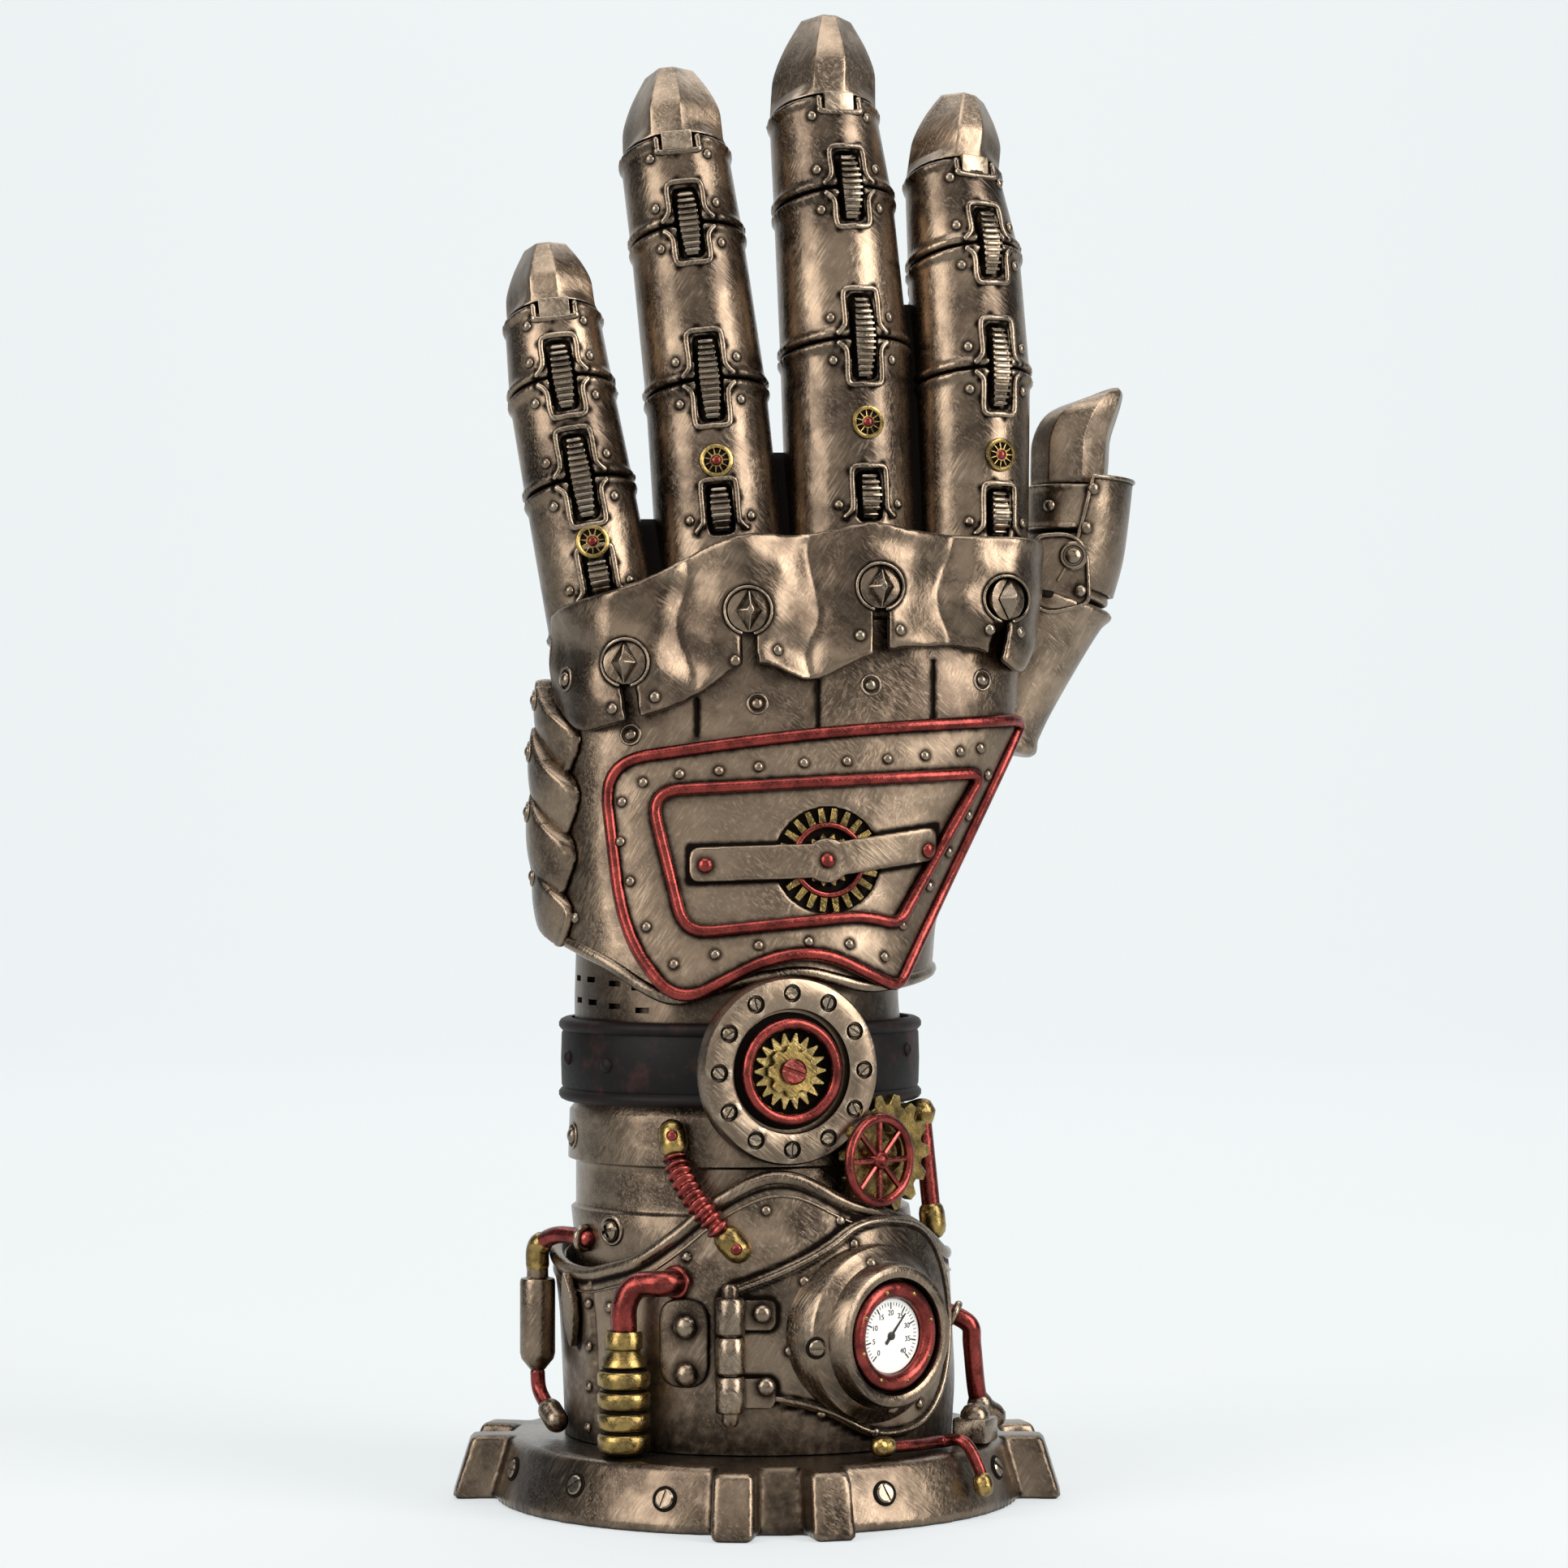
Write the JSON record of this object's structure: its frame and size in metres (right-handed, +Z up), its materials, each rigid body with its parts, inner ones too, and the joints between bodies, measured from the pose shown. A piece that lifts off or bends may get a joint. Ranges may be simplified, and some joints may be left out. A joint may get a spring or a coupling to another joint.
{
  "type": "steampunk gauntlet on gear stand",
  "caption": "Left-hand steampunk gauntlet with plated fingers, a knuckle guard, a strapped wrist and a cuff with a gauge, cast upright on a round gear-shaped stand.",
  "frame": {"origin": "centre of the round stand's underside, on the floor", "axes": "+Z up along the arm to the fingertips, -Y out of the back of the hand, +X towards the thumb"},
  "size_m": [0.1399, 0.1244, 0.3036],
  "materials": {
    "bronze": "aged bronze, brushed back on the high spots",
    "dark_bronze": "darkened bronze",
    "red_enamel": "metallic red paint, black in the recesses",
    "brass": "antiqued brass with black grime",
    "leather": "dark brown, worn",
    "dial": "white printed dial"
  },
  "bodies": {
    "root": {"back_panel": "bronze", "base_fitting": "bronze", "bracer": "bronze", "brass_bulb": "brass", "bulb_elbow": "red_enamel", "canister": "bronze", "canister_inlet": "red_enamel", "canister_outlet": "red_enamel", "corrugated_hose": "red_enamel", "cuff_drain": "red_enamel", "cuff_rolled_rim": "bronze", "door_hinge": "bronze", "forearm_cuff": "bronze", "gauge_dial": "dial", "gauge_door": "bronze", "gauge_housing": "bronze", "gauge_ring": "red_enamel", "gear_base": "bronze", "hand_shell": "bronze", "hand_wheel": "red_enamel", "index_distal": "bronze", "index_hose": "red_enamel", "index_middle": "bronze", "index_proximal": "bronze", "index_tip": "bronze", "knuckle_guard": "bronze", "leather_strap": "leather", "little_distal": "bronze", "little_middle": "bronze", "little_proximal": "bronze", "little_tip": "bronze", "medallion_disc": "bronze", "medallion_gear": "brass", "medallion_ring": "red_enamel", "middle_distal": "bronze", "middle_middle": "bronze", "middle_proximal": "bronze", "middle_tip": "bronze", "oval_plate": "bronze", "panel_bar": "bronze", "panel_edge_trim": "red_enamel", "panel_gear": "brass", "panel_inset_trim": "red_enamel", "rim_feed": "red_enamel", "ring_distal": "bronze", "ring_middle": "bronze", "ring_proximal": "bronze", "ring_tip": "bronze", "side_pipe": "red_enamel", "side_scale_1": "bronze", "side_scale_2": "bronze", "side_scale_3": "bronze", "side_scale_4": "bronze", "thumb_collar": "bronze", "thumb_link": "bronze", "thumb_sleeve": "bronze", "thumb_tip": "bronze", "wheel_gear": "brass", "wrist_sleeve": "dark_bronze"}
  },
  "joints": []
}
